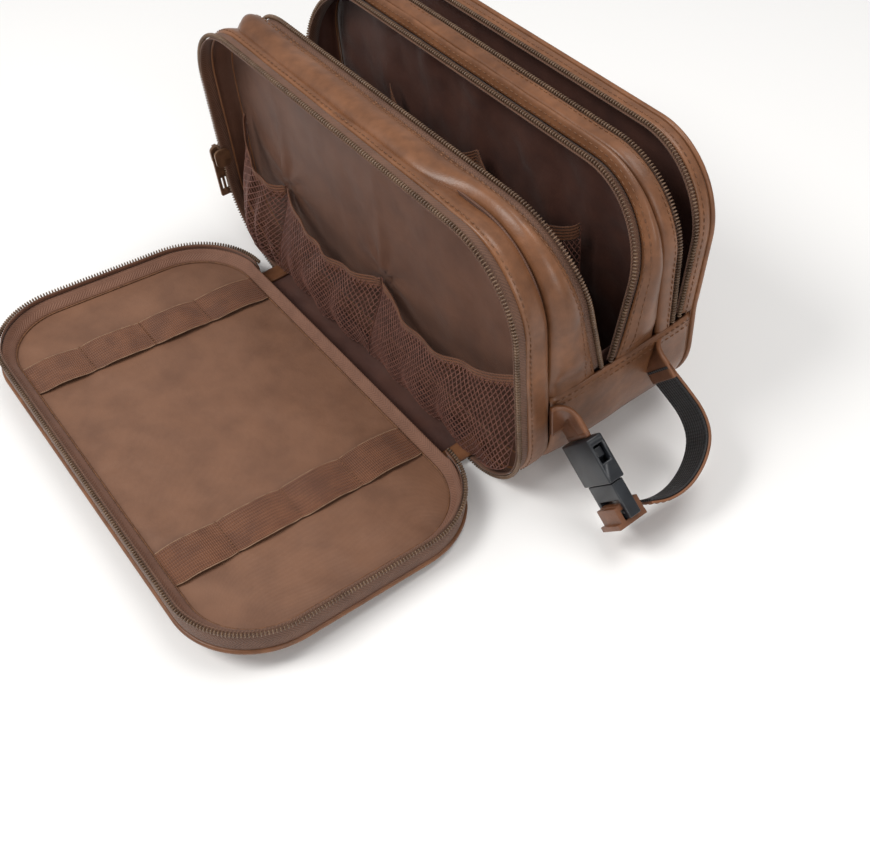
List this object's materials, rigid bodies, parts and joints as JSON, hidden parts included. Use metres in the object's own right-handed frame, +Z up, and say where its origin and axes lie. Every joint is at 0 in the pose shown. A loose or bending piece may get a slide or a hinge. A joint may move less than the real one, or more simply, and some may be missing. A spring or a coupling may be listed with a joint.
{
  "type": "shaving kit bag",
  "caption": "Zipped faux-leather toiletry bag with a drop-down front flap, mesh pockets, a wide-opening main compartment, a rear pocket and a buckled wrist strap",
  "frame": {"origin": "centre of the bag's base, on the floor it stands on", "axes": "+X along the bag's length towards the wrist strap, -Y to the front where the flap opens, +Z up"},
  "size_m": [0.3257, 0.2759, 0.1485],
  "materials": {
    "leather": "mottled tan faux leather, semi-gloss, fine grain",
    "strap_leather": "brown faux leather on black webbing",
    "lining": "brown twill polyester lining",
    "binding": "pinkish-brown twill tape",
    "mesh": "reddish-brown net",
    "elastic": "ribbed brown elastic",
    "zipper_coil": "bronze-brown nylon coil",
    "zipper_metal": "bronze-brown painted zinc",
    "buckle_plastic": "black moulded acetal",
    "board": "stiffening board inside the base"
  },
  "bodies": {
    "root": {"base_panel": "leather", "base_board": "board", "side_band_left": "leather", "side_band_right": "leather", "hinge_strip": "lining", "front_gusset": "leather", "front_zip_tape": "binding", "front_zip_coil": "zipper_coil", "front_divider": "lining", "mesh_pocket_left": "mesh", "mesh_pocket_middle": "mesh", "mesh_pocket_right": "mesh", "pocket_elastic": "elastic", "main_gusset_front": "leather", "main_gusset_rear": "leather", "main_lining": "lining", "rear_divider": "lining", "inner_mesh_pocket": "mesh", "inner_elastic": "elastic", "rear_gusset": "leather", "rear_zip_coil_front": "zipper_coil", "rear_panel_lower": "leather", "strap_anchor_front": "leather", "strap_anchor_rear": "leather"},
    "front_flap": {"flap_panel": "leather", "flap_wall": "binding", "flap_coil": "zipper_coil", "flap_lining": "lining", "flap_binding": "binding", "flap_pocket_lining": "lining", "pocket_zip_upper": "binding", "pocket_zip_lower": "binding", "pocket_end_tabs": "leather", "elastic_band_left": "elastic", "elastic_band_right": "elastic"},
    "main_lip_front": {"main_lip_front": "leather", "main_coil_front": "zipper_coil"},
    "main_lip_rear": {"main_lip_rear": "leather", "main_coil_rear": "zipper_coil"},
    "rear_flap": {"rear_panel_upper": "leather", "rear_wall": "leather", "rear_zip_coil_rear": "zipper_coil"},
    "handle": {"strap": "strap_leather", "socket_strap": "strap_leather", "buckle_socket": "buckle_plastic"},
    "buckle_plug": {"buckle_plug": "buckle_plastic", "strap_end": "strap_leather"},
    "prong_upper": {"prong_upper": "buckle_plastic"},
    "prong_lower": {"prong_lower": "buckle_plastic"},
    "front_slider": {"front_slider": "zipper_metal"},
    "front_puller": {"front_puller": "zipper_metal"},
    "main_slider": {"main_slider": "zipper_metal"},
    "main_puller": {"main_puller": "zipper_metal"},
    "rear_slider": {"rear_slider": "zipper_metal"},
    "rear_puller": {"rear_puller": "zipper_metal"},
    "pocket_slider": {"pocket_slider": "zipper_metal"},
    "pocket_puller": {"pocket_puller": "zipper_metal"}
  },
  "joints": [
    {"name": "flap_hinge", "type": "hinge", "parent": "root", "child": "front_flap", "pos_m": [0, -0.06, 0.0032], "axis": [1, 0, 0], "range_deg": [-85, 0]},
    {"name": "main_front_lean", "type": "hinge", "parent": "root", "child": "main_lip_front", "pos_m": [0, 0.005, 0.062], "axis": [1, 0, 0], "range_deg": [-11, 0]},
    {"name": "main_rear_lean", "type": "hinge", "parent": "root", "child": "main_lip_rear", "pos_m": [0, 0.005, 0.062], "axis": [1, 0, 0], "range_deg": [0, 14.5]},
    {"name": "rear_flap_lean", "type": "hinge", "parent": "root", "child": "rear_flap", "pos_m": [0, 0.061, 0.065], "axis": [1, 0, 0], "range_deg": [0, 7]},
    {"name": "front_slider_travel", "type": "slide", "parent": "root", "child": "front_slider", "axis": [0, 0, 1], "range_m": [0, 0.041]},
    {"name": "front_puller_swing", "type": "hinge", "parent": "front_slider", "child": "front_puller", "pos_m": [-0.1363, -0.0476, 0.06], "axis": [0, 1, 0], "range_deg": [0, 75]},
    {"name": "main_slider_travel", "type": "slide", "parent": "root", "child": "main_slider", "axis": [0, 0, 1], "range_m": [0, 0.032]},
    {"name": "main_puller_swing", "type": "hinge", "parent": "main_slider", "child": "main_puller", "pos_m": [-0.1363, 0.005, 0.074], "axis": [0, 1, 0], "range_deg": [0, 75]},
    {"name": "rear_slider_travel", "type": "slide", "parent": "root", "child": "rear_slider", "axis": [0, 0, 1], "range_m": [0, 0.032]},
    {"name": "rear_puller_swing", "type": "hinge", "parent": "rear_slider", "child": "rear_puller", "pos_m": [-0.1363, 0.049, 0.074], "axis": [0, 1, 0], "range_deg": [0, 75]},
    {"name": "pocket_slider_travel", "type": "slide", "parent": "front_flap", "child": "pocket_slider", "axis": [1, 0, 0], "range_m": [0, 0.19]},
    {"name": "pocket_puller_swing", "type": "hinge", "parent": "pocket_slider", "child": "pocket_puller", "pos_m": [-0.095, -0.16742, 0.00647], "axis": [1, 0, 0], "range_deg": [-75, 0]},
    {"name": "handle_swing", "type": "hinge", "parent": "root", "child": "handle", "pos_m": [0.137, 0, 0.053], "axis": [0, 1, 0], "range_deg": [-85, 0]},
    {"name": "buckle_release", "type": "slide", "parent": "handle", "child": "buckle_plug", "axis": [0.766, 0, -0.6428], "range_m": [0, 0.022]},
    {"name": "prong_upper_squeeze", "type": "hinge", "parent": "buckle_plug", "child": "prong_upper", "pos_m": [0.1664, -0.022, 0.03577], "axis": [0, -1, 0], "range_deg": [0, 7]},
    {"name": "prong_lower_squeeze", "type": "hinge", "parent": "buckle_plug", "child": "prong_lower", "pos_m": [0.15907, -0.022, 0.02704], "axis": [0, 1, 0], "range_deg": [0, 7]}
  ],
  "couplings": [
    {"joint": "prong_upper_squeeze", "follows": "buckle_release", "rad_per_m": 5.5478},
    {"joint": "prong_lower_squeeze", "follows": "buckle_release", "rad_per_m": 5.5478}
  ]
}
